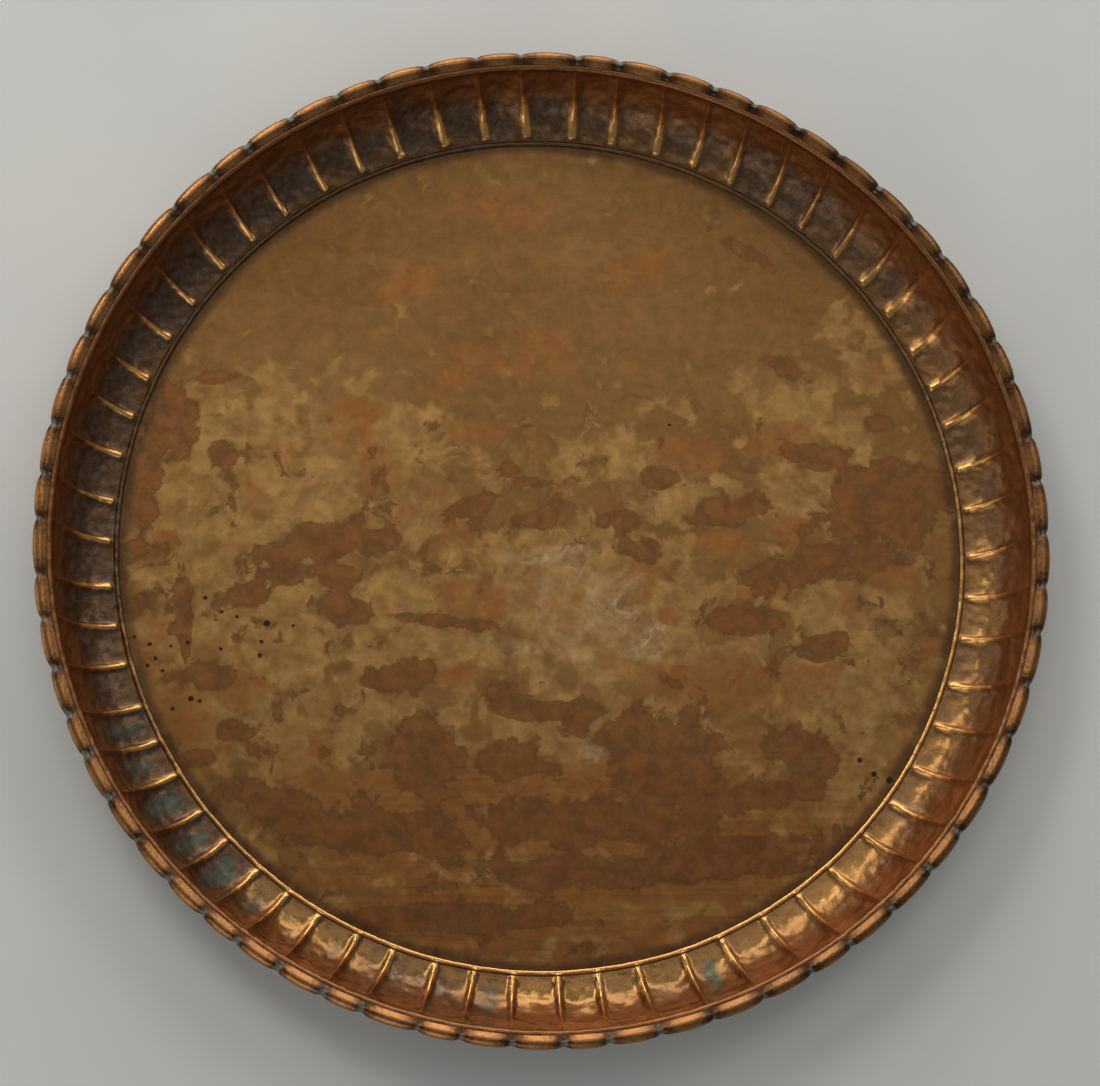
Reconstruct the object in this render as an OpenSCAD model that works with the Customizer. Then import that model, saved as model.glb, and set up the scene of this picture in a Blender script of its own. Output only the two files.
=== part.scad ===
// Large round copper tray: a plain floor sheet, a fluted wall lapped over the
// floor's margin, and a crimped strip that wraps the wall's edge and a wire.
// Millimetres, +Z up. The origin is on the tray's axis, in the face it rests on.
// Angles run clockwise from +Y, seen from above.

/* [Floor] */
// Clear width of the floor inside the wall's foot
floor_d = 680; // [520:5:840]
// Thickness of the floor sheet
floor_t = 1.2; // [0.8:0.1:2]
// How much thinner the floor's margin is beaten where the wall's foot laps over it
margin_drop = 0.3; // [0.1:0.1:0.5]
// Gap between the thicker part of the floor and the wall's foot
seam_gap = 0.5; // [0.2:0.1:1]

/* [Wall] */
// Height of the whole tray, to the crests of the rim
tray_h = 60; // [40:1:90]
// Thickness of the wall sheet
wall_t = 1.2; // [0.8:0.1:1.6]
// Width of the foot that laps over the floor's margin
lap_w = 8; // [6:1:16]
// Horizontal run of the wall, from the foot's inner edge to the top bend
wall_run = 48; // [38:1:70]
// Radius of the bend at the top of the wall
bend_r = 3; // [2:0.5:5]
// Flat of the flange left clear between the wall's bend and the rim strip's lips
flange_w = 0.2; // [0.2:0.1:3]

/* [Flutes] */
// Number of flutes round the wall
flute_n = 63; // [40:1:80]
// Depth of a flute below its ridges, where it is deepest
flute_depth = 5; // [1:0.5:6]
// Depth of flute left at the top of the wall
flute_top = 1; // [0:0.1:1.5]
// Angle of the first ridge
first_ridge = -1.6; // [-5:0.1:5]
// Drift from even spacing that comes once round the tray, in degrees
drift_once = 2.7; // [0:0.1:4]
// Drift from even spacing that comes twice round the tray, in degrees
drift_twice = 1.2; // [0:0.1:2]
// How far one ridge strays from its neighbours' spacing, in degrees
ridge_stray = 0.4; // [0:0.1:0.8]
// Lean of the ridges from foot to rim that comes once round, in degrees
lean_once = 1.1; // [0:0.1:2]

/* [Rim] */
// Diameter of the stiffening wire
wire_d = 5; // [3:0.5:6]
// Thickness of the strip folded over the wire and the flange
strip_t = 1; // [0.6:0.1:1.4]
// Width of the strip's lips that lie flat on the flange
lip_w = 2.2; // [1:0.1:2.4]
// How far the strip bulges outwards between two notches
scallop_out = 2.5; // [0:0.25:4]
// How far the strip bulges up and down between two notches
scallop_up = 1.2; // [0:0.1:2]
// Clearance between the wire and what holds it
fit_gap = 0.15; // [0.1:0.05:0.3]

/* [Hidden] */

floor_r = floor_d / 2;
margin_z = floor_t - margin_drop;
lap_top_z = margin_z + wall_t;
lap_end_r = floor_r + lap_w;
bend_end_r = floor_r + wall_run;

// The strip's lips start clear of the back of the wall's 45 degree bend. Beyond
// their root they leave the flange on a 45 degree slope that just clears the wire,
// and the wire lies against the flange's edge, level with its middle.
grip_r = wire_d / 2 + fit_gap;
lip_end_r = bend_end_r + wall_t * tan(22.5) + flange_w;
lip_root_r = lip_end_r + lip_w;
wire_ring_r = lip_root_r + grip_r * sqrt(2) - wall_t / 2;
flange_end_r = wire_ring_r - grip_r;
wire_z = tray_h - scallop_up - strip_t - grip_r;
flange_top_z = wire_z + wall_t / 2;
flange_low_z = wire_z - wall_t / 2;

// Corners of the folded strip's section, as angles round the wire.
fold_step = 45;
fold_angles = [for (k = [2.5 : -1 : -2.5]) k * fold_step];
cavity_r = grip_r / cos(fold_step / 2);
strip_r = (grip_r + strip_t) / cos(fold_step / 2);

// Where the columns of each flute and scallop stand, as shares of its width.
flute_cols = [0, 0.18, 0.5, 0.82];
scallop_cols = [0, 0.12, 0.5, 0.88];
// Where the rows of points stand up the wall, from the foot to the bend.
wall_rows = [0.2, 0.42, 0.68, 1];

// A spread of values from -1 to 1 that looks random and never changes.
function stray(i) = let (g = i * 0.618034) 2 * (g - floor(g)) - 1;
function turn(i) = 360 * i / flute_n;
function ridge_angle(i) = first_ridge + turn(i)
    + drift_once * cos(turn(i) - 125)
    + drift_twice * cos(2 * turn(i) + 20)
    + ridge_stray * stray(i % flute_n);
function ridge_lean(i) = lean_once * cos(turn(i) + 115) - 0.25
    + ridge_stray * stray(i % flute_n + 7);
function notch_angle(i) = ridge_angle(i) + ridge_lean(i);
function blend(a, b, share) = a + (b - a) * share;

// Hollow of a flute across its width: sharp at the ridges, round between.
function hollow(share) = 1 - pow(abs(2 * share - 1), 3);
// Depth of a flute up the wall: steep at the foot, fading towards the rim.
function depth(rise) = flute_depth * sin(180 * pow(rise, 0.6)) + flute_top * rise;

function at(r, angle, z) = [r * sin(angle), r * cos(angle), z];
function bezier(p, t) = pow(1 - t, 3) * p[0] + 3 * t * pow(1 - t, 2) * p[1]
    + 3 * t * t * (1 - t) * p[2] + t * t * t * p[3];

// The wall's inner face along a ridge, as radius and height.
cove_run = bend_end_r - bend_r - lap_end_r;
cove_rise = flange_top_z - bend_r - lap_top_z;
cove = [[lap_end_r, lap_top_z],
        [lap_end_r + cove_run * 0.45, lap_top_z],
        [bend_end_r - bend_r - cove_run * 0.18, flange_top_z - bend_r - cove_rise * 0.5],
        [bend_end_r - bend_r, flange_top_z - bend_r]];

// Inner face of one column of the wall: rows of radius, height and rise.
function wall_face(share) = concat(
    [[floor_r, lap_top_z, 0], [lap_end_r, lap_top_z, 0]],
    [for (rise = wall_rows) let (p = bezier(cove, rise))
        [p[0] + depth(rise) * hollow(share), p[1], rise]],
    [[bend_end_r, flange_top_z, 1], [flange_end_r, flange_top_z, 1]]);

// The point one sheet's thickness behind point k of a face.
function behind(face, k, thick) =
    let (a = face[max(k - 1, 0)], b = face[k], c = face[min(k + 1, len(face) - 1)],
         before = unit2(b - a), after = unit2(c - b),
         along = k == 0 ? after : k == len(face) - 1 ? before : unit2(before + after),
         mitre = k == 0 || k == len(face) - 1 ? 1
             : max(0.7, along[0] * after[0] + along[1] * after[1]))
    [b[0] + along[1] * thick / mitre, b[1] - along[0] * thick / mitre, b[2]];
function unit2(v) = let (n = norm([v[0], v[1]])) n == 0 ? [0, 0] : [v[0] / n, v[1] / n];

// A closed loop of points round the sheet: up its face and down its back.
function wall_loop(share) = let (face = wall_face(share)) concat(
    face, [for (k = [len(face) - 1 : -1 : 0]) behind(face, k, wall_t)]);

// One loop for each column, each point turned to its place on a leaning ridge.
function wall_columns() = [for (i = [0 : flute_n - 1]) for (share = flute_cols)
    [for (p = wall_loop(share))
        at(p[0], blend(ridge_angle(i), ridge_angle(i + 1), share)
            + p[2] * blend(ridge_lean(i), ridge_lean(i + 1), share), p[1])]];

// Swell of the strip between two notches, which are pinched flat.
function swell(share) = 1 - pow(abs(2 * share - 1), 2.6);

// A corner of the strip's fold, at a distance and an angle round the wire.
function fold_point(dist, angle, share) = [
    wire_ring_r + dist * cos(angle) + scallop_out * swell(share) * max(0, cos(angle)),
    wire_z + dist * sin(angle) + scallop_up * swell(share) * sin(angle)
        / sin(fold_angles[0])];

// The strip's section: out over the top, back underneath, then along the inside.
function strip_loop(share) = concat(
    [[lip_end_r, flange_top_z + strip_t]],
    [for (angle = fold_angles) fold_point(strip_r, angle, share)],
    [[lip_end_r, flange_low_z - strip_t], [lip_end_r, flange_low_z],
     [lip_root_r, flange_low_z]],
    [for (k = [len(fold_angles) - 1 : -1 : 0])
        fold_point(cavity_r, fold_angles[k], share)],
    [[lip_root_r, flange_top_z], [lip_end_r, flange_top_z]]);

function strip_columns() = [for (i = [0 : flute_n - 1]) for (share = scallop_cols)
    [for (p = strip_loop(share))
        at(p[0], blend(notch_angle(i), notch_angle(i + 1), share), p[1])]];

// A closed ring skinned over loops of points that all have the same length.
module ring_of(columns) {
    n = len(columns);
    m = len(columns[0]);
    points = [for (column = columns) for (p = column) p];
    faces = [for (i = [0 : n - 1]) for (k = [0 : m - 1])
        let (a = i * m + k, b = i * m + (k + 1) % m,
             c = (i + 1) % n * m + (k + 1) % m, d = (i + 1) % n * m + k)
        for (face = [[a, b, c], [a, c, d]]) face];
    polyhedron(points, faces, convexity = 6);
}

// Flat round sheet that the tray rests on; its thinner margin lies under the
// wall's foot.
module floor_sheet() {
    color("#8d6f3e") {
        cylinder(r = lap_end_r, h = margin_z, $fn = 180);
        cylinder(r = floor_r - seam_gap, h = floor_t, $fn = 180);
    }
}

// Raised sheet: a flat foot, a fluted cove and a narrow flange at the top.
module fluted_wall() {
    color("#8a4a24") ring_of(wall_columns());
}

// Thin strip folded over the flange and the wire, and pinched at every ridge.
module rim_strip() {
    color("#b9692f") ring_of(strip_columns());
}

// Round wire hidden inside the folded strip.
module rim_wire() {
    color("#4a4743")
        rotate_extrude($fn = 180)
            translate([wire_ring_r, wire_z]) circle(d = wire_d, $fn = 32);
}

floor_sheet();
fluted_wall();
rim_strip();
rim_wire();
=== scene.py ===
import math

import bpy
import numpy as np
from mathutils import Matrix, Vector, noise


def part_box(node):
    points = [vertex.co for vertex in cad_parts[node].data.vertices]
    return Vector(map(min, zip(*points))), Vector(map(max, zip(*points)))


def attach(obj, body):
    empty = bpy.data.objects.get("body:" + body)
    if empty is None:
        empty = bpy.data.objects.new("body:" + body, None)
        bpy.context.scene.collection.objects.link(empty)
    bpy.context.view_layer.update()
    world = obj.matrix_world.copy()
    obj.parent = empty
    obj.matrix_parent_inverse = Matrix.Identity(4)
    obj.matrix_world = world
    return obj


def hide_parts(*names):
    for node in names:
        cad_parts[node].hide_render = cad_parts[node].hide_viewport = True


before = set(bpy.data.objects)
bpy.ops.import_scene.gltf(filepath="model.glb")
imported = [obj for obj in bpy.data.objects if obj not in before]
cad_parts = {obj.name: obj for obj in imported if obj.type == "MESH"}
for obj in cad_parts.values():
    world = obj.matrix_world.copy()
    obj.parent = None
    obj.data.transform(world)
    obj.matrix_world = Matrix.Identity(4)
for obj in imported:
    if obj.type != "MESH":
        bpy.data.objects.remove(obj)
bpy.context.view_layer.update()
print("frame loaded")

# Lengths are in millimetres until a mesh is made. Angles are in degrees and run clockwise from +Y,
# seen from above, as they do in the CAD model. A texture's scale is 1000 over the size of its lumps.
metre = 0.001


def boxOf(name):
    low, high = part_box(name)
    return np.array(low) / metre, np.array(high) / metre


floorLow, floorHigh = boxOf("floor_sheet")
wallLow, wallHigh = boxOf("fluted_wall")
rimLow, rimHigh = boxOf("rim_strip")
wireLow, wireHigh = boxOf("rim_wire")

flutes = {
    "count": 63,
    "first": -1.6,  # angle of the first ridge
    "driftOnce": 2.7,  # the maker's spacing drifts once and twice round the tray
    "driftTwice": 1.2,
    "stray": 0.4,  # how far one ridge strays from its neighbours' spacing
    "leanOnce": 1.1,  # how far a ridge leans from foot to rim
    "leanAlways": -0.25,
}

# Settings of a node that mixes two colours, and of one that multiplies them.
mixing = {"out": 2, "data_type": "RGBA"}
multiplying = {"out": 2, "data_type": "RGBA", "blend_type": "MULTIPLY"}


def hexColour(code):
    # sRGB hex to the linear colour that a shader's socket takes
    parts = [int(code[i:i + 2], 16) / 255 for i in (1, 3, 5)]
    linear = [c / 12.92 if c <= 0.04045 else ((c + 0.055) / 1.055) ** 2.4 for c in parts]
    return (*linear, 1.0)


def node(tree, kind, inputs=None, out=0, stops=None, **settings):
    # Adds a node and gives back one of its outputs. An input is a value or another node's output.
    made = tree.nodes.new(kind)
    for name, value in settings.items():
        setattr(made, name, value)
    for place, (position, code) in enumerate(stops or []):
        ramp = made.color_ramp.elements
        stop = ramp[place] if place < len(ramp) else ramp.new(position)
        stop.position = position
        stop.color = hexColour(code)
    for name, value in (inputs or {}).items():
        if isinstance(value, bpy.types.NodeSocket):
            tree.links.new(value, made.inputs[name])
        else:
            made.inputs[name].default_value = value
    return made.outputs[out] if len(made.outputs) else None


def newMaterial(name):
    material = bpy.data.materials.new(name)
    material.use_nodes = True
    material.node_tree.nodes.clear()
    return material, material.node_tree


def smooth(x):
    x = np.clip(x, 0, 1)
    return x * x * (3 - 2 * x)


def stray(i):
    # values from -1 to 1 that look random and never change
    g = i * 0.618034
    return 2 * (g - np.floor(g)) - 1


def wave(degrees):
    return np.cos(np.radians(degrees))


def turn(i):
    return 360 * i / flutes["count"]


def ridgeAngle(i):
    drift = flutes["driftOnce"] * wave(turn(i) - 125) + flutes["driftTwice"] * wave(2 * turn(i) + 20)
    return flutes["first"] + turn(i) + drift + flutes["stray"] * stray(i % flutes["count"])


def ridgeLean(i):
    lean = flutes["leanOnce"] * wave(turn(i) + 115) + flutes["leanAlways"]
    return lean + flutes["stray"] * stray(i % flutes["count"] + 7)


def cloud(points, size, seed=0.0, depth=1):
    # smooth noise from -1 to 1 or so, whose lumps are about size across
    total = np.zeros(len(points))
    for octave in range(depth):
        step = 2 ** octave / size
        values = [noise.noise(Vector((p[0] * step + seed, p[1] * step - seed, p[2] * step))) for p in points]
        total += np.array(values) / 2 ** octave
    return total


def placed(radius, angle, height):
    turned = np.radians(angle)
    return np.stack([radius * np.sin(turned), radius * np.cos(turned), height], axis=-1)


def near(angle, places):
    # How much of something there is at each angle. A place is an angle, a width and how much.
    total = 0
    for centre, width, much in places:
        away = (angle - centre + 180) % 360 - 180
        total = total + much * np.exp(-(away / width) ** 2)
    return total


def sheetMesh(name, points, faces, marks=None):
    # a mesh in metres from points in millimetres, with one number per point for each mark
    mesh = bpy.data.meshes.new(name)
    mesh.vertices.add(len(points))
    mesh.vertices.foreach_set("co", (points * metre).astype(np.float32).ravel())
    mesh.loops.add(faces.size)
    mesh.loops.foreach_set("vertex_index", faces.ravel().astype(np.int32))
    mesh.polygons.add(len(faces))
    mesh.polygons.foreach_set("loop_start", np.arange(0, faces.size, faces.shape[1], dtype=np.int32))
    mesh.update(calc_edges=True)
    mesh.validate()
    mesh.shade_smooth()
    for mark, values in (marks or {}).items():
        layer = mesh.attributes.new(mark, "FLOAT", "POINT")
        layer.data.foreach_set("value", values.astype(np.float32).ravel())
    piece = bpy.data.objects.new(name, mesh)
    bpy.context.scene.collection.objects.link(piece)
    return piece


def ringMesh(name, loops, marks):
    # a ring skinned over closed loops of points, one loop for each column round the tray
    columns, rows = loops.shape[:2]
    c, r = np.meshgrid(np.arange(columns), np.arange(rows), indexing="ij")
    nextC, nextR = (c + 1) % columns, (r + 1) % rows
    quads = np.stack([c * rows + r, nextC * rows + r, nextC * rows + nextR, c * rows + nextR], axis=-1)
    return sheetMesh(name, loops.reshape(-1, 3), quads.reshape(-1, 4), marks)


def columnPlaces(shares):
    # flute number and share of its width, for every column round the tray
    number = np.repeat(np.arange(flutes["count"]), len(shares))
    share = np.tile(np.array(shares), flutes["count"])
    return number, share


floorShape = {
    "cells": 176,  # squares across the disc
    "sway": 0.9,  # how high the sheet lifts off the table between its low places
    "swayMean": 0.45,  # share of that height it has on average, and how far it swings about it
    "swaySwing": 0.5,
    "swaySize": 150,
    "dent": 0.12,
    "dentSize": 26,
    "flatFrom": 322,  # the sheet is flat from here outwards
    "settle": 60,  # its sway dies away over this width
    "margin": 11,  # width beaten thinner, out to the edge
    "step": 2.5,  # width of the slope down to the margin
}

# Where the floor's patina lies: x, y, half width, half height and tilt.
umberStains = [
    (-322, 48, 15, 38, 0), (-298, 103, 18, 26, 10), (-265, 135, 26, 5, 8), (-260, 70, 10, 10, 0),
    (-177, 0, 27, 12, -6), (-136, -3, 14, 9, 0), (-213, -10, 17, 9, 10), (-205, -28, 18, 8, 0),
    (-164, -28, 15, 9, 0), (-240, -46, 21, 10, 12), (-158, -57, 27, 10, -6), (-90, -64, 50, 4, -6),
    (-286, -64, 5, 36, 4), (-272, -111, 20, 10, 0), (-111, -111, 20, 11, 8), (-247, -154, 11, 8, 0),
    (-269, -176, 10, 7, 0), (-95, -172, 30, 27, 20), (-30, -174, 23, 14, 0), (98, -176, 40, 34, -15),
    (225, 75, 20, 11, -8), (279, 105, 13, 7, 10), (277, 33, 40, 36, 0), (153, 30, 30, 13, 12),
    (235, -14, 62, 13, 6), (163, -62, 24, 11, 0), (228, -82, 17, 9, 15), (161, -206, 32, 10, 8),
    (-29, 61, 8, 5, 0), (40, -225, 90, 16, 0), (-130, -232, 70, 14, -4), (60, -262, 110, 12, 2),
    (-60, -300, 80, 10, 0), (130, -250, 60, 12, 8), (150, 262, 34, 7, -35), (178, 245, 26, 5, -40),
    (-205, -215, 40, 14, -20), (205, -175, 26, 22, -20), (0, -135, 40, 8, 0), (60, 20, 16, 8, 0),
    (97, 55, 14, 8, 0), (-4, 20, 12, 7, 0), (-60, 30, 14, 6, 20), (200, 150, 18, 8, -30),
]
russetStains = [
    (-147, 109, 27, 10, 6), (-136, 54, 18, 14, 0), (-160, 73, 5, 5, 0), (-134, 73, 6, 5, 0),
    (-160, 48, 5, 5, 0), (-76, 130, 19, 10, 10), (-35, 284, 56, 24, 10), (-65, -51, 29, 21, 0),
    (-65, -109, 13, 10, 0), (-33, -122, 15, 8, 0), (147, 2, 21, 10, -6), (145, -109, 66, 16, 4),
    (110, 185, 8, 5, 0), (69, 148, 8, 5, 0), (18, -68, 8, 6, 0), (76, -43, 9, 8, 0),
    (99, -57, 9, 7, 0), (0, -215, 130, 34, 0), (-120, -215, 60, 30, 0), (90, -270, 90, 20, 0),
    (-20, -300, 110, 14, 0), (190, 90, 30, 12, 10), (120, 75, 24, 12, 0), (-20, 160, 60, 24, 0),
    (70, 230, 50, 16, 20), (250, 140, 26, 14, 0), (210, 10, 20, 12, 0), (-60, 90, 24, 12, 0),
    (-290, -140, 22, 20, 0), (-240, -120, 26, 12, 0), (-110, 220, 40, 16, 20), (285, -30, 20, 16, 0),
]
khakiStains = [
    (49, -59, 60, 50, 0), (-20, -45, 20, 30, 20), (33, -169, 23, 13, 0), (-8, -20, 40, 18, 0),
    (51, -150, 80, 26, 0), (60, -295, 62, 7, 0), (238, -125, 44, 84, -10), (-254, 40, 60, 50, 0),
    (-31, -253, 22, 7, 0), (110, -90, 60, 12, 0), (-190, 30, 40, 20, 0), (110, 40, 34, 20, 0),
    (205, 45, 30, 20, 0), (-110, 20, 40, 16, 0), (-250, -75, 40, 34, 0), (60, 70, 50, 14, 0),
    (-215, -140, 40, 16, 0), (190, -40, 50, 10, 0), (-100, -90, 60, 12, 0), (40, -5, 60, 18, 0),
    (-245, 60, 90, 70, 0), (-235, -30, 80, 34, 0), (-225, -100, 60, 50, 0), (-190, -150, 50, 30, 20),
    (-270, -70, 44, 60, 0), (-120, -60, 60, 30, 0), (-150, 80, 70, 30, 10), (215, 110, 50, 30, -20),
    (-130, -140, 60, 12, -5), (260, 170, 30, 50, 30),
]
# Pale middle patch, partly chalk and partly a painted sheen: x, y, half width, half height and tilt.
chalkSheenStains = [
    (30, -52, 60, 36, 0), (80, -80, 30, 18, 0), (-10, -86, 60, 8, -8), (0, -10, 44, 8, 4),
    (20, -25, 22, 10, 0), (-22, -50, 8, 22, 20), (33, -172, 20, 10, 0), (66, -28, 24, 8, 0),
    (30, -95, 20, 8, 0),
]
blackSpecks = [  # x, y and width
    (-270, -48, 3), (-257, -59, 2.5), (-245, -63, 2), (-221, -68, 5), (-225, -83, 3), (-226, -94, 4),
    (-257, -89, 2), (-283, -84, 2.5), (-296, -87, 2), (-313, -86, 3), (-308, -97, 2.5), (-314, -103, 3),
    (-302, -107, 2.5), (-279, -129, 4), (-272, -131, 3), (-293, -137, 2.5), (-325, -80, 2.5),
    (253, -174, 4), (264, -185, 4), (277, -190, 6), (283, -198, 4), (-200, -70, 2), (103, 100, 2),
]


def stained(x, y, stains):
    # 1 inside a stain, with an edge that falls away over about half its width
    total = np.zeros(len(x))
    for centreX, centreY, halfX, halfY, tilt in stains:
        lean = math.radians(tilt)
        along = (x - centreX) * math.cos(lean) + (y - centreY) * math.sin(lean)
        across = (y - centreY) * math.cos(lean) - (x - centreX) * math.sin(lean)
        away = np.hypot(along / halfX, across / halfY)
        total = np.maximum(total, smooth((1.7 - away) / 1.2))
    return total


def makeFloor():
    # A disc of even squares: rings of a square are pushed out to rings of a circle.
    cells = floorShape["cells"]
    radius, thick = floorHigh[0], floorHigh[2]
    line = np.linspace(-1, 1, cells + 1)
    u, v = (grid.ravel() for grid in np.meshgrid(line, line, indexing="ij"))
    ring = np.maximum(abs(u), abs(v))
    corner = np.where(ring > 0, np.minimum(abs(u), abs(v)) / np.maximum(ring, 1e-9), 0)
    turned = corner * math.pi / 4
    long, short = np.cos(turned) * ring, np.sin(turned) * ring
    wide = abs(u) >= abs(v)
    x = np.where(wide, long, short) * np.sign(u) * radius
    y = np.where(wide, short, long) * np.sign(v) * radius
    flat = np.stack([x, y, np.zeros(len(x))], axis=-1)
    out = np.hypot(x, y)

    inner = 1 - smooth((out - floorShape["flatFrom"] + floorShape["settle"]) / floorShape["settle"])
    swing = floorShape["swaySwing"] * cloud(flat, floorShape["swaySize"], 3.1, 2)
    lift = np.maximum(floorShape["sway"] * (floorShape["swayMean"] + swing) * inner, 0)
    dent = floorShape["dent"] * cloud(flat, floorShape["dentSize"], 9.7) * inner
    thinned = (thick - wallLow[2]) * smooth((out - radius + floorShape["margin"]) / floorShape["step"])
    up = np.array([0, 0, 1])
    upper = flat + up * (thick - thinned + lift + dent)[:, None]
    lower = flat + up * np.maximum(lift + dent, 0)[:, None]

    index = np.arange((cells + 1) ** 2).reshape(cells + 1, cells + 1)
    corners = [index[:-1, :-1], index[1:, :-1], index[1:, 1:], index[:-1, 1:]]
    top = np.stack([c.ravel() for c in corners], axis=-1)
    bottom = top[:, ::-1] + len(x)
    edge = np.concatenate([index[:-1, 0], index[-1, :-1], index[:0:-1, -1], index[0, :0:-1]])
    onward = np.roll(edge, -1)
    side = np.stack([onward, edge, edge + len(x), onward + len(x)], axis=-1)
    marks = {
        "umber": stained(x, y, umberStains),
        "russet": stained(x, y, russetStains),
        "khaki": stained(x, y, khakiStains),
        "chalkSheen": stained(x, y, chalkSheenStains),
        "margin": out / radius,
    }
    marks = {name: np.tile(values, 2) for name, values in marks.items()}
    marks["below"] = np.repeat([0.0, 1.0], len(x))
    return sheetMesh("floorSheet", np.concatenate([upper, lower]), np.concatenate([top, side, bottom]), marks)


wallShape = {
    "sheet": 1.2,
    "foot": 8.0,  # width that laps over the floor's margin
    "bead": 1.0,  # how far the foot's raised edge stands above it
    "beadWidth": 4.0,
    "groove": 0.3,  # how far the sheet dips on both sides of the raised edge
    "coveFrom": 2.6,  # the wall turns up this far inside the floor's own edge
    "coveStart": 0.45,  # share of the run that stays low
    "coveLift": 3.0,  # makes the foot turn up at once
    "coveEnd": 0.18,
    "coveRows": 36,
    "bend": 3.0,  # radius of the bend at the top
    "flange": 3.4,  # flat beyond the bend
    "hollow": 4.6,  # how far a flute is sunk
    "hollowTop": 0.9,  # what is left of it at the rim
    "deepFrom": 0.26,  # share of the rise by which a flute has its full depth
    "fadeFrom": 0.5,  # from here up it grows shallower, by this share
    "fade": 0.75,
    "narrowShare": 0.6,  # a flute's floor rises this much at its ridges, and the rest over its width
    "unevenness": 0.22,  # how much one flute's depth differs from the next
    "fold": 2.3,  # half width of a ridge
    "foldFoot": 1.15,  # it is wider than that at the foot and narrows on the way up
    "foldNarrows": 0.4,
    "footRidge": 2.2,  # how high a ridge stands where it springs from the foot
    "dent": 1.05,  # hammer dents
    "dentSize": 14,
    "lump": 0.8,  # broader unevenness
    "lumpSize": 46,
    "wander": 0.5,  # how far the foot's edge wanders from a true circle
    "wanderSize": 60,
    "shares": [0, 0.02, 0.045, 0.075, 0.115, 0.17, 0.25, 0.35, 0.45,
               0.55, 0.65, 0.75, 0.83, 0.885, 0.925, 0.955, 0.98],
}

# Places round the wall: angle, width and how much.
wideRidges = [(57, 8, 0.9), (2, 22, 0.7)]  # ridges struck wide and soft
joinedRidges = [(190, 62, 1.0)]  # ridges that run on into the foot's raised edge
polishedPlaces = [(192, 52, 1.0)]
greenPlaces = [(160, 4, 0.9), (186, 3.5, 0.8), (217, 6, 0.7), (226, 5, 1.0), (235, 5, 0.9), (245, 5, 0.8),
               (205, 4, 0.4), (151, 3, 0.4), (253, 4, 0.4), (139, 3, 0.3), (172, 2.5, 0.3)]
# Painted shade: places where the wall is darkened about a third of the way up.
shadeBandPlaces = [(300, 34, 0.85), (340, 24, 0.6), (12, 20, 0.45), (35, 18, 0.5), (55, 12, 0.3), (265, 24, 0.8),
              (235, 18, 1.0), (196, 14, 0.45), (165, 12, 0.35), (127, 4, 0.5), (85, 26, 0.35)]

footTop = wallLow[2] + wallShape["sheet"]
footStart = floorHigh[0] - wallShape["foot"]


def coveLine(share):
    # The wall's inner face along a ridge. Height and run come from the frame.
    start = np.array([floorHigh[0] - wallShape["coveFrom"], footTop])
    end = np.array([wallHigh[0] - wallShape["flange"] - wallShape["bend"], wallHigh[2] - wallShape["bend"]])
    run, rise = end - start
    hold = [start, start + [run * wallShape["coveStart"], wallShape["coveLift"]],
            end - [run * wallShape["coveEnd"], rise * 0.5], end]
    t = share[:, None]
    return ((1 - t) ** 3 * hold[0] + 3 * t * (1 - t) ** 2 * hold[1]
            + 3 * t * t * (1 - t) * hold[2] + t ** 3 * hold[3])


def wallProfile():
    # Inner face from the foot's edge to the flange: radius, height and share of the rise.
    bead, width, groove = wallShape["bead"], wallShape["beadWidth"], wallShape["groove"]
    rows = [(footStart, wallLow[2] + 0.2, 0)]
    beadMiddle = footStart + width / 2
    for t in np.radians([180, 150, 115, 90, 60, 30]):
        standing = (bead + groove) * math.sin(t)
        rows.append((beadMiddle + width / 2 * math.cos(t), footTop - groove + standing, 0))
    rows.append((footStart + width + 0.1, footTop - groove, 0))
    rows.append((footStart + width + 0.7, footTop - groove + 0.05, 0))
    rise = np.linspace(0, 1, wallShape["coveRows"])
    cove = coveLine(rise)
    rows += [(r, z, t) for (r, z), t in zip(cove, rise)]
    middle, level = cove[-1] + [wallShape["bend"], 0]
    for t in np.radians([165, 150, 135, 120, 105, 90]):
        rows.append((middle + wallShape["bend"] * math.cos(t), level + wallShape["bend"] * math.sin(t), 1))
    rows.append((wallHigh[0], wallHigh[2], 1))
    return np.array(rows)


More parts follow.
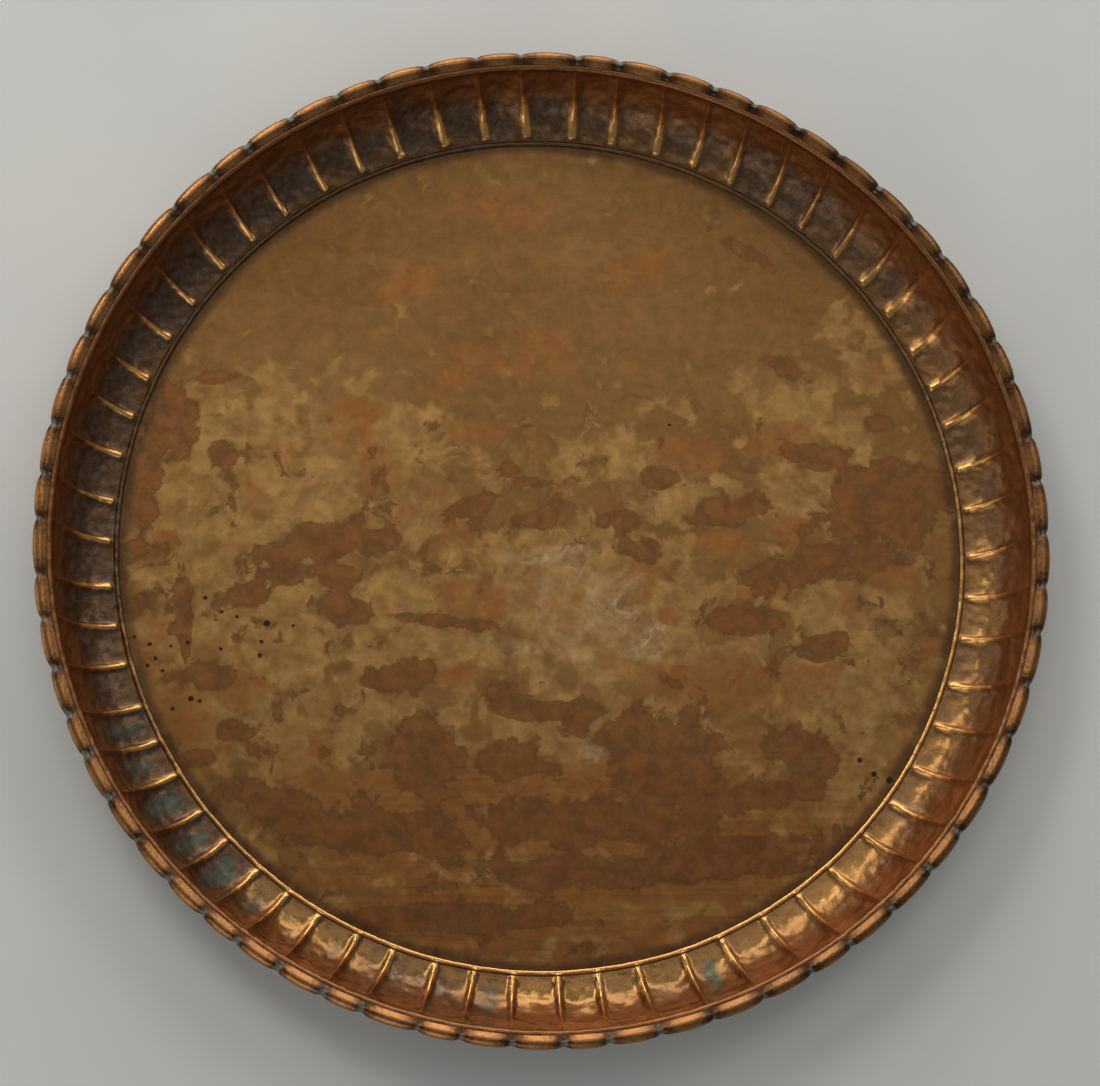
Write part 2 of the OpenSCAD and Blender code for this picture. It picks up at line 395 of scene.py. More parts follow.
def makeWall():
    number, share = columnPlaces(wallShape["shares"])
    radius, height, rise = (wallProfile()[:, k][None, :] for k in range(3))
    start = ridgeAngle(number)[:, None]
    span = (ridgeAngle(number + 1) - ridgeAngle(number))[:, None]
    lean = ridgeLean(number) + (ridgeLean(number + 1) - ridgeLean(number)) * share
    side = share[:, None]
    angle = start + span * side + rise * lean[:, None]
    away = np.minimum(side, 1 - side) * np.radians(span) * radius

    # Some ridges are struck wide, and each flute has its own depth.
    soft = 1 + near(angle, wideRidges) + 0.35 * np.maximum(stray(number + 3)[:, None], 0)
    fold = wallShape["fold"] * (wallShape["foldFoot"] - wallShape["foldNarrows"] * rise) * soft
    crest = np.exp(-(away / fold) ** 2)
    narrow = wallShape["narrowShare"]
    hollow = 1 - (narrow * crest + (1 - narrow) * abs(2 * side - 1) ** 3)
    uneven = 1 + wallShape["unevenness"] * stray(number * 5 + 2)[:, None] * (1 - abs(2 * side - 1))
    fade = wallShape["fade"] * smooth((rise - wallShape["fadeFrom"]) / 0.5)
    sink = wallShape["hollow"] * smooth(rise / wallShape["deepFrom"]) * (1 - fade)
    sink = sink + wallShape["hollowTop"] * rise * smooth((1.02 - rise) / 0.1)
    flat = placed(radius + 0 * angle, angle, height + 0 * angle).reshape(-1, 3)
    bumps = cloud(flat, wallShape["dentSize"], 4.4, 2).reshape(angle.shape)
    lumps = cloud(flat, wallShape["lumpSize"], 8.2).reshape(angle.shape)
    lift = wallShape["dent"] * bumps + wallShape["lump"] * lumps
    lift = lift * smooth(rise / 0.12) * smooth((1 - rise) / 0.2)
    out = radius + (rise > 0) * (rise < 1) * (sink * hollow * uneven + lift * (1 - 0.5 * crest))
    # The foot is not quite true either: its edge wanders a little.
    wander = wallShape["wander"] * cloud(flat, wallShape["wanderSize"], 1.7).reshape(angle.shape)
    wander = wander * (rise == 0) * (radius < floorHigh[0] - 0.5)
    joined = near(angle, joinedRidges) * (radius > footStart + wallShape["beadWidth"] / 2)
    ridge = wallShape["footRidge"] * crest * np.maximum(smooth(rise / 0.03), 0.75 * joined)
    ridge = ridge * (1 - smooth((rise - 0.1) / 0.4))
    inner = placed(out + wander, angle, height + ridge)

    # The back is one sheet's thickness behind, with fewer rows.
    across = np.roll(inner, -1, 0) - np.roll(inner, 1, 0)
    along = np.gradient(inner, axis=1)
    normal = np.cross(across, along)
    normal /= np.linalg.norm(normal, axis=2, keepdims=True)
    rows = inner.shape[1]
    picked = [0] + list(range(8, rows - 8, 2)) + [rows - 7, rows - 5, rows - 3, rows - 1]
    outer = inner[:, picked] - normal[:, picked] * wallShape["sheet"]
    outer[:, 0] = inner[:, 0]
    outer[:, :2, 2] = wallLow[2]
    outer[:, :, 2] = np.maximum(outer[:, :, 2], wallLow[2])

    green = near(angle, greenPlaces) * smooth(rise / 0.15) * smooth((0.9 - rise) / 0.4)
    marks = {
        # crest: the ridges, with a painted highlight on their lower part that fades going up
        "crest": crest * np.maximum(smooth(rise / 0.04), joined) * (1 - 0.8 * smooth((rise - 0.4) / 0.4)),
        # bead: the foot's raised edge, rubbed, with a painted highlight strongest round 165 degrees
        "bead": smooth((height - footTop + 0.2) / 0.6) * (rise == 0) * (0.5 + 0.4 * wave(angle - 165)),
        "polish": near(angle, polishedPlaces),
        # painted light: the foot lighter round 135 degrees and darker on the far side
        "sideLight": wave(angle - 135) * (1 - smooth(rise / 0.35)),
        "rise": (radius - radius.min()) / (radius.max() - radius.min()),
        "flute": stray(number * 3 + 1)[:, None] * smooth(away / 3),
        "verdigris": green * smooth(2.2 * np.minimum(side, 1 - side)),
        # painted shade, strongest about a third of the way up
        "shadeBand": np.clip(near(angle, shadeBandPlaces), 0, 1) * np.exp(-((rise - 0.3) / 0.34) ** 2),
    }
    marks = {name: values + 0 * angle for name, values in marks.items()}
    marks = {name: np.concatenate([values, values[:, picked][:, ::-1]], axis=1)
             for name, values in marks.items()}
    marks["below"] = np.concatenate([0 * angle, 1 + 0 * angle[:, picked]], axis=1)
    return ringMesh("flutedWall", np.concatenate([inner, outer[:, ::-1]], axis=1), marks)


rimShape = {
    "sheet": 1.0,  # thickness of the strip
    "lip": 2.2,  # width of its lips, which lie flat on the flange
    "bulgeOut": 2.3,
    "bulgeUp": 1.2,
    "pinch": 3.0,  # half width of a notch
    "pinchIn": 0.5,  # how deep it is
    "flatness": 0.8,  # share of the swell that falls away over a whole segment, not just at its notches
    "unevenness": 0.12,  # how much one segment's swell differs from the next
    "wrap": 118,  # the strip curves round the wire this far over and under, in degrees
    "wrapRows": 19,
    "wrapInside": 125,
    "wrapInsideRows": 9,
    "shares": [0, 0.03, 0.065, 0.105, 0.15, 0.21, 0.3, 0.4, 0.5, 0.6, 0.7, 0.79, 0.85, 0.895, 0.935, 0.97],
}
# Painted shade: where the rim's colour is darkened, round the right side.
rimShadePlaces = [(40, 38, 1.0), (130, 34, 0.8)]  # angle, width and how much


def makeRim():
    number, share = columnPlaces(rimShape["shares"])
    wireRadius = (wireHigh[2] - wireLow[2]) / 2
    ring = wireHigh[0] - wireRadius
    level = (wireHigh[2] + wireLow[2]) / 2
    sheet, lip = rimShape["sheet"], rimShape["lip"]
    outerFold = rimHigh[2] - rimShape["bulgeUp"] - level
    innerFold = outerFold - sheet
    flangeTop = wallHigh[2]
    flangeLow = 2 * level - flangeTop
    lipEnd = ring - innerFold * math.sqrt(2) + (flangeTop - flangeLow) / 2 - lip

    def wrapped(distance, degrees):
        turned = np.radians(degrees)
        outwards, upwards = math.cos(turned), math.sin(turned)
        return ring + distance * outwards, level + distance * upwards, outwards, upwards

    # Section: out over the top, round the wire, back underneath, then along the inside. Each row
    # has a radius, a height, and how far it faces outwards and upwards. The lips' edges are rounded.
    section = [(lipEnd, flangeTop + 0.2, 0, 0), (lipEnd + 0.1, flangeTop + sheet - 0.25, 0, 0),
               (lipEnd + 0.5, flangeTop + sheet, 0, 0.1), (lipEnd + 1.3, flangeTop + sheet + 0.15, 0, 0.35)]
    over, inside = rimShape["wrap"], rimShape["wrapInside"]
    section += [wrapped(outerFold, degrees) for degrees in np.linspace(over, -over, rimShape["wrapRows"])]
    section += [(lipEnd + 1.0, flangeLow - sheet, 0, 0), (lipEnd, flangeLow - sheet + 0.2, 0, 0),
                (lipEnd, flangeLow, 0, 0), (lipEnd + lip, flangeLow, 0, 0)]
    section += [wrapped(innerFold, degrees)
                for degrees in np.linspace(-inside, inside, rimShape["wrapInsideRows"])]
    section += [(lipEnd + lip, flangeTop, 0, 0), (lipEnd, flangeTop, 0, 0)]
    radius, height, outwards, upwards = (np.array(section)[:, k][None, :] for k in range(4))

    start = (ridgeAngle(number) + ridgeLean(number))[:, None]
    span = (ridgeAngle(number + 1) + ridgeLean(number + 1))[:, None] - start
    side = share[:, None]
    angle = start + span * side
    away = np.minimum(side, 1 - side) * np.radians(span) * ring
    pinch = np.exp(-(away / (rimShape["pinch"] * (1 + 0.3 * stray(number + 11)[:, None]))) ** 2)
    flatness = rimShape["flatness"]
    swell = 1 - ((1 - flatness) * pinch + flatness * abs(2 * side - 1) ** 2)
    swell = swell * (1 - rimShape["unevenness"] * (1 + stray(number * 7 + 4)[:, None]) / 2)
    outside = np.hypot(radius - ring, height - level) > innerFold + 0.5 * sheet
    pressed = outside * rimShape["pinchIn"] * pinch
    out = radius + rimShape["bulgeOut"] * swell * np.maximum(outwards, 0) - pressed * outwards
    up = height + rimShape["bulgeUp"] * swell * upwards - pressed * upwards
    marks = {
        # painted shade round the right side of the rim
        "rimShade": near(angle, rimShadePlaces),
        "pinch": pinch * np.exp(-((upwards - 0.75) / 0.45) ** 2) * (outwards > -0.3),
        "swell": swell * outside,
        "flute": stray(number * 3 + 5)[:, None],
    }
    marks = {name: values + 0 * out for name, values in marks.items()}
    return ringMesh("rimStrip", placed(out, angle, up), marks)


floorTones = {
    "tinned": [(0.3, "#866036"), (0.5, "#8E683B"), (0.7, "#987244")],
    "smear": "#7E5831",
    "brown": "#9C6838",  # the lower part, all over
    "khaki": "#B48C54",
    "russet": "#9C6838",
    "streak": "#744E2A",
    "island": [(0.15, "#6C4A2C"), (0.4, "#74502E"), (0.85, "#8A5A32")],
    # pale tone of the middle patch: chalk and painted sheen
    "chalkSheen": "#C4A67A",
    "speck": "#1C1A14",
    # dark line along the wall's foot: grime and painted shade
    "grimeAndShade": "#44362A",
    "below": [(0.35, "#3B2618"), (0.52, "#5E3A20"), (0.7, "#7A4A28")],
}


def agedCopper():
    # Sheet copper that was tinned, scoured and left to tarnish: a dull khaki gold, with brown and russet
    # blooms where the tin has gone, a pale middle patch of chalk and painted sheen, and a line of grime and
    # painted shade where the wall's foot begins.
    material, tree = newMaterial("agedCopper")
    umber, russet, khaki, chalkSheen, margin, below = (
        node(tree, "ShaderNodeAttribute", attribute_name=mark, out=2)
        for mark in ("umber", "russet", "khaki", "chalkSheen", "margin", "below"))
    place = node(tree, "ShaderNodeTexCoord", out=3)
    across = node(tree, "ShaderNodeSeparateXYZ", {0: place}, out=0)
    upwards = node(tree, "ShaderNodeSeparateXYZ", {0: place}, out=1)

    # Blooms have lobed edges, so the noise that cuts them is itself pushed about.
    push = node(tree, "ShaderNodeTexNoise", {"Vector": place, "Scale": 1000 / 38, "Detail": 3.0}, out=1)
    pushed = node(tree, "ShaderNodeVectorMath", {0: push, 1: (30 * metre, 30 * metre, 0.0), 2: place},
                  operation="MULTIPLY_ADD")
    bloom, lobes, rubbing = (
        node(tree, "ShaderNodeTexNoise",
             {"Vector": pushed, "Scale": 1000 / size, "Detail": detail, "Roughness": roughness})
        for size, detail, roughness in ((62, 7.0, 0.62), (24, 5.0, 0.55), (13, 8.0, 0.7)))
    torn = node(tree, "ShaderNodeTexNoise",
                {"Vector": pushed, "Scale": 1000 / 30, "Detail": 8.0, "Roughness": 0.66, "W": 4.0},
                noise_dimensions="4D")
    mist = node(tree, "ShaderNodeTexNoise", {"Vector": place, "Scale": 1000 / 180, "Detail": 4.0})
    grain = node(tree, "ShaderNodeTexNoise", {"Vector": place, "Scale": 1000 / 3.5, "Detail": 3.0})
    fading = node(tree, "ShaderNodeTexNoise",
                  {"Vector": place, "Scale": 1000 / 17, "Detail": 4.0, "Roughness": 0.6})
    fading = node(tree, "ShaderNodeMapRange", {0: fading, 1: 0.36, 2: 0.6, 3: 0.3, 4: 1.0})

    # The mottled belt crosses the middle. Below it the floor is brown all over, less so at the sides.
    belt = node(tree, "ShaderNodeMapRange", {0: upwards, 1: 0.2, 2: 0.04, 3: -0.14, 4: 0.24},
                interpolation_type="SMOOTHSTEP")
    aside = node(tree, "ShaderNodeMath", {0: across, 1: across}, operation="MULTIPLY")
    level = upwards
    for shift, much in ((bloom, 0.3), (aside, 1.1), (across, -0.2)):
        level = node(tree, "ShaderNodeMath", {0: shift, 1: much, 2: level}, operation="MULTIPLY_ADD")
    low = node(tree, "ShaderNodeMapRange", {0: level, 1: 0.04, 2: -0.1, 3: 0.0, 4: 1.0},
               interpolation_type="SMOOTHSTEP")

    # Long rubbed streaks run across the lower part, and broad smears slant across the whole floor.
    stretched = node(tree, "ShaderNodeMapping", {0: place, 3: (1000 / 110, 1000 / 5, 1.0)})
    streaks = node(tree, "ShaderNodeTexNoise", {"Vector": stretched, "Scale": 1.0, "Detail": 5.0})
    streaks = node(tree, "ShaderNodeMapRange", {0: streaks, 1: 0.44, 2: 0.62, 3: 0.0, 4: 0.35})
    streaks = node(tree, "ShaderNodeMath", {0: streaks, 1: low}, operation="MULTIPLY")
    slanted = node(tree, "ShaderNodeMapping",
                   {0: place, 2: (0.0, 0.0, math.radians(38)), 3: (1000 / 260, 1000 / 26, 1.0)})
    smears = node(tree, "ShaderNodeTexNoise", {"Vector": slanted, "Scale": 1.0, "Detail": 4.0})
    smears = node(tree, "ShaderNodeMapRange", {0: smears, 1: 0.42, 2: 0.68, 3: 0.0, 4: 0.45})

    def bloomMask(mark, weight, cutter, faint, full, extra):
        # where a stain's mark and the noise together pass a level, patchy inside
        total = node(tree, "ShaderNodeMath", {0: mark, 1: weight, 2: extra}, operation="MULTIPLY_ADD")
        total = node(tree, "ShaderNodeMath", {0: cutter, 1: 3.0, 2: total}, operation="MULTIPLY_ADD")
        total = node(tree, "ShaderNodeMapRange", {0: total, 1: faint, 2: full},
                     interpolation_type="SMOOTHSTEP")
        return node(tree, "ShaderNodeMath", {0: total, 1: fading}, operation="MULTIPLY")

    russetMask = bloomMask(russet, 0.6, bloom, 1.74, 2.16, belt)
    umberMask = bloomMask(umber, 0.7, torn, 1.84, 2.2, belt)
    khakiMask = bloomMask(khaki, 0.55, lobes, 1.66, 2.1, belt)
    chalkSheenMask = bloomMask(chalkSheen, 1.0, torn, 2.0, 2.75, 0.0)
    # The pale middle patch is partly chalk and partly a painted sheen: the sheen is spread thinly over it,
    # and the chalk lies thickest in thin curling lines.
    lace = node(tree, "ShaderNodeTexNoise", {"Vector": pushed, "Scale": 1000 / 26, "Detail": 6.0})
    lace = node(tree, "ShaderNodeMath", {0: lace, 1: 0.5}, operation="SUBTRACT")
    lace = node(tree, "ShaderNodeMath", {0: lace}, operation="ABSOLUTE")
    lace = node(tree, "ShaderNodeMapRange", {0: lace, 1: 0.0, 2: 0.06, 3: 1.0, 4: 0.42})
    chalkSheenMask = node(tree, "ShaderNodeMath", {0: chalkSheenMask, 1: lace}, operation="MULTIPLY")
    # Where the tin has worn through, an island is darkest along its edge and redder inside.
    island = node(tree, "ShaderNodeValToRGB", {0: umberMask}, stops=floorTones["island"])
    islandMask = node(tree, "ShaderNodeMapRange", {0: umberMask, 1: 0.02, 2: 0.45, 3: 0.0, 4: 0.9})

    # A few black specks of burnt tin, with edges that the grain makes ragged.
    nearest = None
    for x, y, width in blackSpecks:
        spot = (x * metre, y * metre, floorHigh[2] * metre)
        away = node(tree, "ShaderNodeVectorMath", {0: place, 1: spot}, out=1, operation="DISTANCE")
        away = node(tree, "ShaderNodeMath", {0: away, 1: width * 0.4 * metre}, operation="SUBTRACT")
        if nearest is not None:
            away = node(tree, "ShaderNodeMath", {0: nearest, 1: away}, operation="MINIMUM")
        nearest = away
    ragged = node(tree, "ShaderNodeMath", {0: grain, 1: 2 * metre}, operation="MULTIPLY")
    nearest = node(tree, "ShaderNodeMath", {0: nearest, 1: ragged}, operation="ADD")
    specks = node(tree, "ShaderNodeMapRange", {0: nearest, 1: 1.8 * metre, 2: 1.2 * metre, 3: 0.0, 4: 0.9},
                  interpolation_type="SMOOTHSTEP")

    # Grime and painted shade darken the floor along the wall's foot.
    grimeAndShade = node(tree, "ShaderNodeMath", {0: grain, 1: 0.008, 2: margin}, operation="MULTIPLY_ADD")
    grimeAndShade = node(tree, "ShaderNodeMath", {0: bloom, 1: 0.03, 2: grimeAndShade}, operation="MULTIPLY_ADD")
    grimeAndShade = node(tree, "ShaderNodeMapRange", {0: grimeAndShade, 1: 0.966, 2: 0.99, 3: 0.0, 4: 0.6},
                 interpolation_type="SMOOTHSTEP")

    # The underside was never polished.
    under = node(tree, "ShaderNodeValToRGB", {0: bloom}, stops=floorTones["below"])
    colour = node(tree, "ShaderNodeValToRGB", {0: mist}, stops=floorTones["tinned"])
    for mask, tone in (
            (smears, hexColour(floorTones["smear"])), (low, hexColour(floorTones["brown"])),
            (khakiMask, hexColour(floorTones["khaki"])), (russetMask, hexColour(floorTones["russet"])),
            (streaks, hexColour(floorTones["streak"])), (islandMask, island),
            (chalkSheenMask, hexColour(floorTones["chalkSheen"])), (specks, hexColour(floorTones["speck"])),
            (grimeAndShade, hexColour(floorTones["grimeAndShade"])), (below, under)):
        colour = node(tree, "ShaderNodeMix", {0: mask, 6: colour, 7: tone}, **mixing)

    # Fine wear: cloudy rubbing everywhere, and hair scratches that run nearly level.
    rubbing = node(tree, "ShaderNodeMapRange", {0: rubbing, 1: 0.3, 2: 0.7, 3: 0.8, 4: 1.2})
    hairs = node(tree, "ShaderNodeMapping",
                 {0: place, 2: (0.0, 0.0, math.radians(6)), 3: (1000 / 70, 1000 / 1.6, 1.0)})
    hairs = node(tree, "ShaderNodeTexNoise", {"Vector": hairs, "Scale": 1.0, "Detail": 2.0})
    hairs = node(tree, "ShaderNodeMapRange", {0: hairs, 1: 0.3, 2: 0.7, 3: 0.97, 4: 1.03})
    wear = node(tree, "ShaderNodeMath", {0: rubbing, 1: hairs}, operation="MULTIPLY")
    colour = node(tree, "ShaderNodeMix", {0: 1.0, 6: colour, 7: wear}, **multiplying)

    rough = node(tree, "ShaderNodeMapRange", {0: lobes, 1: 0.3, 2: 0.7, 3: 0.42, 4: 0.56})
    rough = node(tree, "ShaderNodeMath", {0: grimeAndShade, 1: 0.15, 2: rough}, operation="MULTIPLY_ADD")
    dents = node(tree, "ShaderNodeTexVoronoi", {"Vector": pushed, "Scale": 1000 / 13, "Smoothness": 0.7},
                 feature="SMOOTH_F1")
    height = node(tree, "ShaderNodeMath", {0: grain, 1: 0.12, 2: dents}, operation="MULTIPLY_ADD")
    bump = node(tree, "ShaderNodeBump", {"Height": height, "Strength": 0.35, "Distance": 0.5 * metre})
    surface = node(tree, "ShaderNodeBsdfPrincipled",
                   {"Base Color": colour, "Metallic": 0.85, "Roughness": rough, "Normal": bump})
    node(tree, "ShaderNodeOutputMaterial", {0: surface})
    return material


wallTones = {
    "copper": [(0.1, "#7C5C3A"), (0.3, "#A07848"), (0.55, "#9A6E48"), (0.82, "#AE784C"), (0.92, "#8A5E3C")],
    "oxide": [(0.35, "#503E34"), (0.52, "#624C3E"), (0.68, "#64625E")],
    "verdigris": "#4A5E53",
    # bright gold: rubbed ridges and raised edge, with a painted highlight
    "rubbedGlint": "#ECB26C",
    "below": [(0.35, "#45291A"), (0.52, "#6B3D22"), (0.7, "#8A5028")],
}


def hammeredCopper():
    # Copper raised over stakes with a hammer: khaki at the foot and redder at the top. The ridges are rubbed
    # bright and carry a painted gold highlight, and the hollows keep their brown and blue-grey oxide, with
    # some green, and painted shade in places.
    material, tree = newMaterial("hammeredCopper")
    crest, bead, polish, sideLight, rise, flute, green, shadeBand, below = (
        node(tree, "ShaderNodeAttribute", attribute_name=mark, out=2)
        for mark in ("crest", "bead", "polish", "sideLight", "rise", "flute", "verdigris", "shadeBand", "below"))
    place = node(tree, "ShaderNodeTexCoord", out=3)
    cloudy = node(tree, "ShaderNodeTexNoise",
                  {"Vector": place, "Scale": 1000 / 22, "Detail": 6.0, "Roughness": 0.6, "Distortion": 0.6})
    fine = node(tree, "ShaderNodeTexNoise", {"Vector": place, "Scale": 1000 / 5, "Detail": 4.0})
    grain = node(tree, "ShaderNodeTexNoise", {"Vector": place, "Scale": 1000 / 1.6, "Detail": 2.0})

    # The metal itself is mottled, and its foot is painted lighter on one side of the tray and darker on the
    # other, for how the light falls.
    copper = node(tree, "ShaderNodeValToRGB", {0: rise}, stops=wallTones["copper"])
    varied = node(tree, "ShaderNodeMapRange", {0: cloudy, 1: 0.32, 2: 0.68, 3: 0.8, 4: 1.15})
    copper = node(tree, "ShaderNodeMix", {0: 1.0, 6: copper, 7: varied}, **multiplying)
    sideLight = node(tree, "ShaderNodeMapRange", {0: sideLight, 1: -1.0, 2: 1.0, 3: 0.7, 4: 1.3})
    copper = node(tree, "ShaderNodeMix", {0: 1.0, 6: copper, 7: sideLight}, **multiplying)

    # Oxide fills the hollows, more in some flutes than in others, and stays off the ridges. Painted shade
    # adds more of its dark colour about a third of the way up, in some places round the wall.
    oxide = node(tree, "ShaderNodeValToRGB", {0: fine}, stops=wallTones["oxide"])
    dark = shadeBand
    for mark, much in ((flute, 0.16), (cloudy, 1.5), (crest, -0.9)):
        dark = node(tree, "ShaderNodeMath", {0: mark, 1: much, 2: dark}, operation="MULTIPLY_ADD")
    dark = node(tree, "ShaderNodeMapRange", {0: dark, 1: 0.85, 2: 1.45, 3: 0.0, 4: 0.85},
                interpolation_type="SMOOTHSTEP")
    greenish = node(tree, "ShaderNodeMath", {0: cloudy, 1: 1.4, 2: green}, operation="MULTIPLY_ADD")
    greenish = node(tree, "ShaderNodeMapRange", {0: greenish, 1: 1.15, 2: 1.6, 3: 0.0, 4: 0.7},
                    interpolation_type="SMOOTHSTEP")
    # Rubbed wear and a painted gold highlight on the ridges and the foot's raised edge.
    raised = node(tree, "ShaderNodeMath", {0: crest, 1: bead}, operation="MAXIMUM")
    rubbedGlint = node(tree, "ShaderNodeMath", {0: fine, 1: 0.5, 2: raised}, operation="MULTIPLY_ADD")
    rubbedGlint = node(tree, "ShaderNodeMapRange", {0: rubbedGlint, 1: 0.62, 2: 1.05, 3: 0.0, 4: 0.9},
                  interpolation_type="SMOOTHSTEP")
    under = node(tree, "ShaderNodeValToRGB", {0: cloudy}, stops=wallTones["below"])
    colour = copper
    for mask, tone in ((dark, oxide), (greenish, hexColour(wallTones["verdigris"])),
                       (rubbedGlint, hexColour(wallTones["rubbedGlint"])), (below, under)):
        colour = node(tree, "ShaderNodeMix", {0: mask, 6: colour, 7: tone}, **mixing)
    grained = node(tree, "ShaderNodeMapRange", {0: grain, 1: 0.3, 2: 0.7, 3: 0.85, 4: 1.12})
    colour = node(tree, "ShaderNodeMix", {0: 1.0, 6: colour, 7: grained}, **multiplying)

    rough = node(tree, "ShaderNodeMapRange", {0: dark, 1: 0.0, 2: 0.85, 3: 0.38, 4: 0.46})
    for mark, much in ((polish, -0.13), (rubbedGlint, -0.1), (greenish, 0.2)):
        rough = node(tree, "ShaderNodeMath", {0: mark, 1: much, 2: rough}, operation="MULTIPLY_ADD")
    strikes = node(tree, "ShaderNodeTexVoronoi", {"Vector": place, "Scale": 1000 / 10, "Smoothness": 0.6},
                   feature="SMOOTH_F1")
    height = node(tree, "ShaderNodeMath", {0: fine, 1: 0.35, 2: strikes}, operation="MULTIPLY_ADD")
    bump = node(tree, "ShaderNodeBump", {"Height": height, "Strength": 0.6, "Distance": 1.8 * metre})
    surface = node(tree, "ShaderNodeBsdfPrincipled",
                   {"Base Color": colour, "Metallic": 0.92, "Roughness": rough, "Normal": bump})
    node(tree, "ShaderNodeOutputMaterial", {0: surface})
    return material


rimTones = {
    "copper": [(0.32, "#4A3226"), (0.5, "#5E402C"), (0.68, "#744E34")],
    "worn": "#B88250",
    "notch": "#767C72",
}


def rubbedCopper():
    # The folded edge is what hands and shelves rub: a lighter orange on the swells, with dull
    # blue-grey left in the pinches.
    material, tree = newMaterial("rubbedCopper")
    rimShade, pinch, swell, flute = (node(tree, "ShaderNodeAttribute", attribute_name=mark, out=2)
                                     for mark in ("rimShade", "pinch", "swell", "flute"))
    place = node(tree, "ShaderNodeTexCoord", out=3)
    cloudy = node(tree, "ShaderNodeTexNoise", {"Vector": place, "Scale": 1000 / 18, "Detail": 5.0})
    fine = node(tree, "ShaderNodeTexNoise", {"Vector": place, "Scale": 1000 / 3, "Detail": 4.0})
    copper = node(tree, "ShaderNodeValToRGB", {0: cloudy}, stops=rimTones["copper"])
    worn = node(tree, "ShaderNodeMath", {0: swell, 1: 1.2, 2: fine}, operation="MULTIPLY_ADD")
    worn = node(tree, "ShaderNodeMapRange", {0: worn, 1: 0.95, 2: 1.75, 3: 0.0, 4: 0.9},
                interpolation_type="SMOOTHSTEP")
    colour = node(tree, "ShaderNodeMix", {0: worn, 6: copper, 7: hexColour(rimTones["worn"])}, **mixing)
    # Painted shade: the edge is darker and browner round the right side of the tray, where less light falls.
    brown = node(tree, "ShaderNodeMapRange", {0: rimShade, 3: 1.0, 4: 0.58})
    colour = node(tree, "ShaderNodeMix", {0: 1.0, 6: colour, 7: brown}, **multiplying)
    dull = pinch
    for mark, much in ((fine, 0.7), (flute, 0.3)):
        dull = node(tree, "ShaderNodeMath", {0: mark, 1: much, 2: dull}, operation="MULTIPLY_ADD")
    dull = node(tree, "ShaderNodeMapRange", {0: dull, 1: 0.62, 2: 1.05, 3: 0.0, 4: 0.9},
                interpolation_type="SMOOTHSTEP")
    colour = node(tree, "ShaderNodeMix", {0: dull, 6: colour, 7: hexColour(rimTones["notch"])}, **mixing)
    rough = node(tree, "ShaderNodeMapRange", {0: dull, 1: 0.0, 2: 0.85, 3: 0.34, 4: 0.55})
    height = node(tree, "ShaderNodeMath", {0: cloudy, 1: 1.5, 2: fine}, operation="MULTIPLY_ADD")
    bump = node(tree, "ShaderNodeBump", {"Height": height, "Strength": 0.4, "Distance": 0.6 * metre})
    surface = node(tree, "ShaderNodeBsdfPrincipled",
                   {"Base Color": colour, "Metallic": 0.92, "Roughness": rough, "Normal": bump})
    node(tree, "ShaderNodeOutputMaterial", {0: surface})
    return material


def drawnIron():
    # Iron wire drawn through a plate and gone brown: dull grey with rust freckles.
    material, tree = newMaterial("drawnIron")
    place = node(tree, "ShaderNodeTexCoord", out=3)
    freckles = node(tree, "ShaderNodeTexNoise", {"Vector": place, "Scale": 1000 / 4, "Detail": 5.0})
    colour = node(tree, "ShaderNodeValToRGB", {0: freckles},
                  stops=[(0.4, "#4A4743"), (0.55, "#5B4A3C"), (0.66, "#7A4A2C")])
    bump = node(tree, "ShaderNodeBump", {"Height": freckles, "Strength": 0.3, "Distance": 0.3 * metre})
    surface = node(tree, "ShaderNodeBsdfPrincipled",
                   {"Base Color": colour, "Metallic": 0.8, "Roughness": 0.5, "Normal": bump})
    node(tree, "ShaderNodeOutputMaterial", {0: surface})
    return material


def paleGround():
    # Painted board: matt, pale and nearly even, so that it shows only the tray's soft shadow.
    material, tree = newMaterial("paleGround")
    place = node(tree, "ShaderNodeTexCoord", out=3)
    mottle = node(tree, "ShaderNodeTexNoise", {"Vector": place, "Scale": 3.0, "Detail": 3.0})
    colour = node(tree, "ShaderNodeValToRGB", {0: mottle}, stops=[(0.3, "#DADFE0"), (0.7, "#E6E9E8")])
    surface = node(tree, "ShaderNodeBsdfPrincipled", {"Base Color": colour, "Roughness": 0.85})
    node(tree, "ShaderNodeOutputMaterial", {0: surface})
    return material


floorPiece = makeFloor()
floorPiece.data.materials.append(agedCopper())
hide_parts("floor_sheet")
print("floor made")

wallPiece = makeWall()
wallPiece.data.materials.append(hammeredCopper())
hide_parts("fluted_wall")
print("wall made")

rimPiece = makeRim()
rimPiece.data.materials.append(rubbedCopper())
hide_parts("rim_strip")
print("rim made")

for piece in (floorPiece, wallPiece, rimPiece):
    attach(piece, "root")

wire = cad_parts["rim_wire"]
wire.data.materials.clear()
wire.data.materials.append(drawnIron())

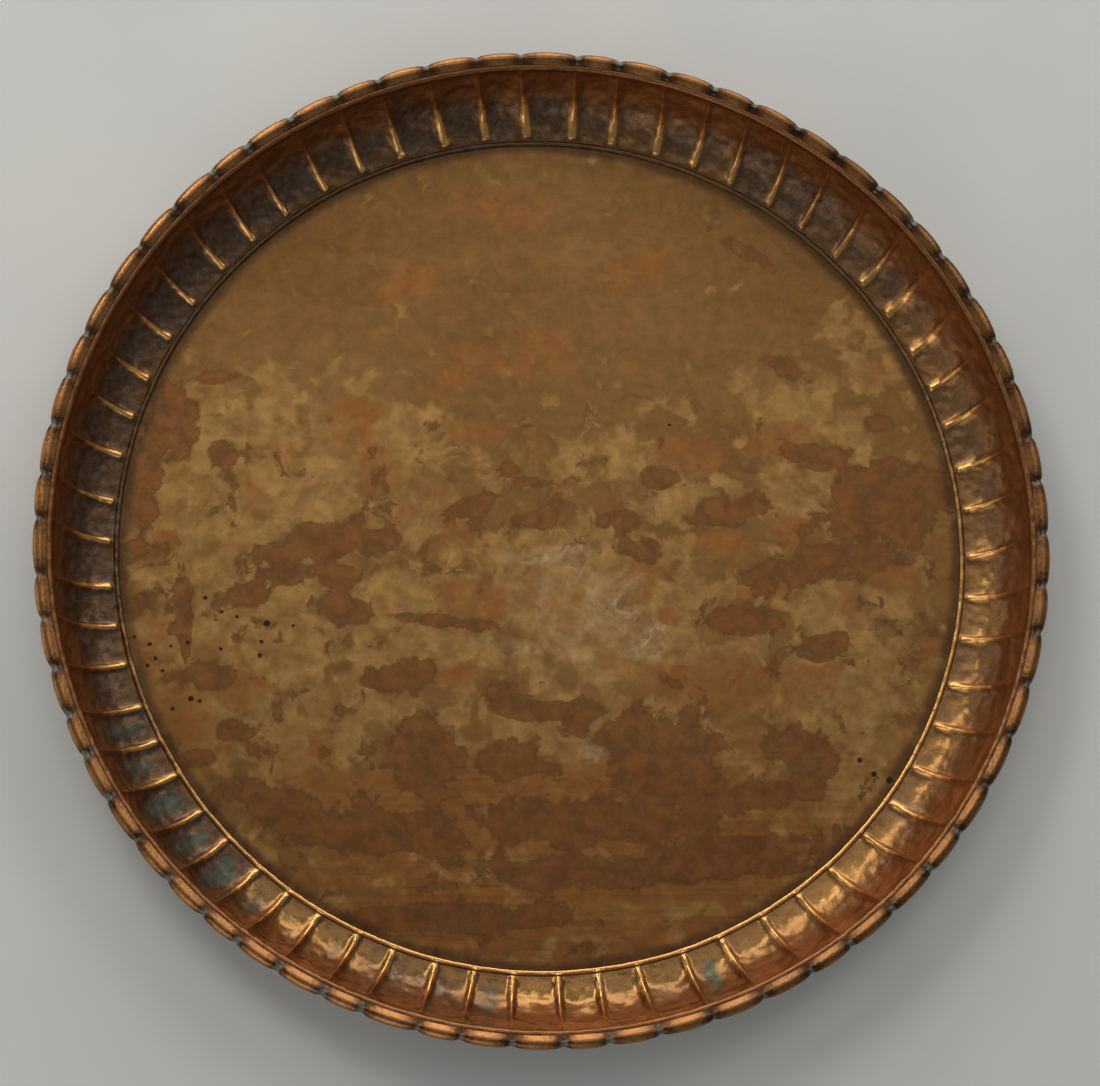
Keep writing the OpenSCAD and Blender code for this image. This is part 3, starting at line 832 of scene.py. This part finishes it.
stage = {
    "ground": 8000,  # width of the board
    "groundDrop": 0.4,  # it lies this far under the tray
    "worldColour": "#D5D9DA",
    "worldSeen": 0.9,
    "lightLow": 0.34,  # the room's own light, level with the tray and overhead
    "lightHigh": 0.2,
}
lamps = {  # place and size in metres, power in watts, colour
    "upperLeft": ((-1.5, 1.9, 2.3), (1.1, 0.8), 19, "#FFF6EA"),
    "upperRight": ((1.7, 1.8, 2.2), (1.1, 0.8), 8, "#FFF6EA"),
    "frontFill": ((-1.2, -2.2, 1.5), (2.4, 1.0), 12, "#FFF6EA"),
    "overhead": ((0.25, 0.9, 2.9), (1.8, 1.4), 7, "#FFF8F0"),
    "farWall": ((0.0, 2.9, 1.15), (3.6, 1.7), 50, "#FFF6EA"),
    "leftFill": ((-2.7, 0.2, 0.6), (2.2, 1.0), 6, "#FFF6EA"),
}
view = {  # distance and aim in metres
    "distance": 1.84,
    "tiltX": -0.06,  # how far the eye leans to the left and towards the near side
    "tiltY": -0.203,
    "aim": (0.0032, -0.0058, 0.030),
    "lens": 75.7,
}


def makeStage():
    half, low = stage["ground"] / 2, -stage["groundDrop"]
    corners = np.array([(-half, -half, low), (half, -half, low), (half, half, low), (-half, half, low)])
    ground = sheetMesh("ground", corners, np.array([[0, 1, 2, 3]]))
    ground.data.materials.append(paleGround())

    world = bpy.data.worlds.new("studio")
    world.use_nodes = True
    tree = world.node_tree
    tree.nodes.clear()
    seen = node(tree, "ShaderNodeLightPath", out=0)
    way = node(tree, "ShaderNodeTexCoord", out=0)
    upwards = node(tree, "ShaderNodeSeparateXYZ", {0: way}, out=2)
    light = node(tree, "ShaderNodeMapRange",
                 {0: upwards, 1: 0.1, 2: 0.9, 3: stage["lightLow"], 4: stage["lightHigh"]})
    strength = node(tree, "ShaderNodeMapRange", {0: seen, 3: light, 4: stage["worldSeen"]})
    sky = node(tree, "ShaderNodeBackground", {0: hexColour(stage["worldColour"]), 1: strength})
    node(tree, "ShaderNodeOutputWorld", {0: sky})
    bpy.context.scene.world = world


def makeLamps():
    for name, (place, size, power, colour) in lamps.items():
        light = bpy.data.lights.new(name, "AREA")
        light.shape = "RECTANGLE"
        light.size, light.size_y = size
        light.energy = power
        light.color = hexColour(colour)[:3]
        lamp = bpy.data.objects.new(name, light)
        lamp.location = place
        lamp.rotation_euler = (-Vector(place)).to_track_quat("-Z", "Y").to_euler()
        lamp.visible_camera = False
        bpy.context.scene.collection.objects.link(lamp)


def makeCamera():
    back = Vector((view["tiltX"], view["tiltY"], 0))
    back.z = math.sqrt(1 - back.length_squared)
    right = Vector((0, 1, 0)).cross(back).normalized()
    up = back.cross(right)
    turned = Matrix((right, up, back)).transposed().to_4x4()
    camera = bpy.data.objects.new("camera", bpy.data.cameras.new("camera"))
    camera.matrix_world = Matrix.Translation(Vector(view["aim"]) + back * view["distance"]) @ turned
    camera.data.lens = view["lens"]
    bpy.context.scene.collection.objects.link(camera)
    bpy.context.scene.camera = camera


makeStage()
makeLamps()
makeCamera()
bpy.context.scene.view_settings.view_transform = "Standard"
print("stage, lights and camera made")
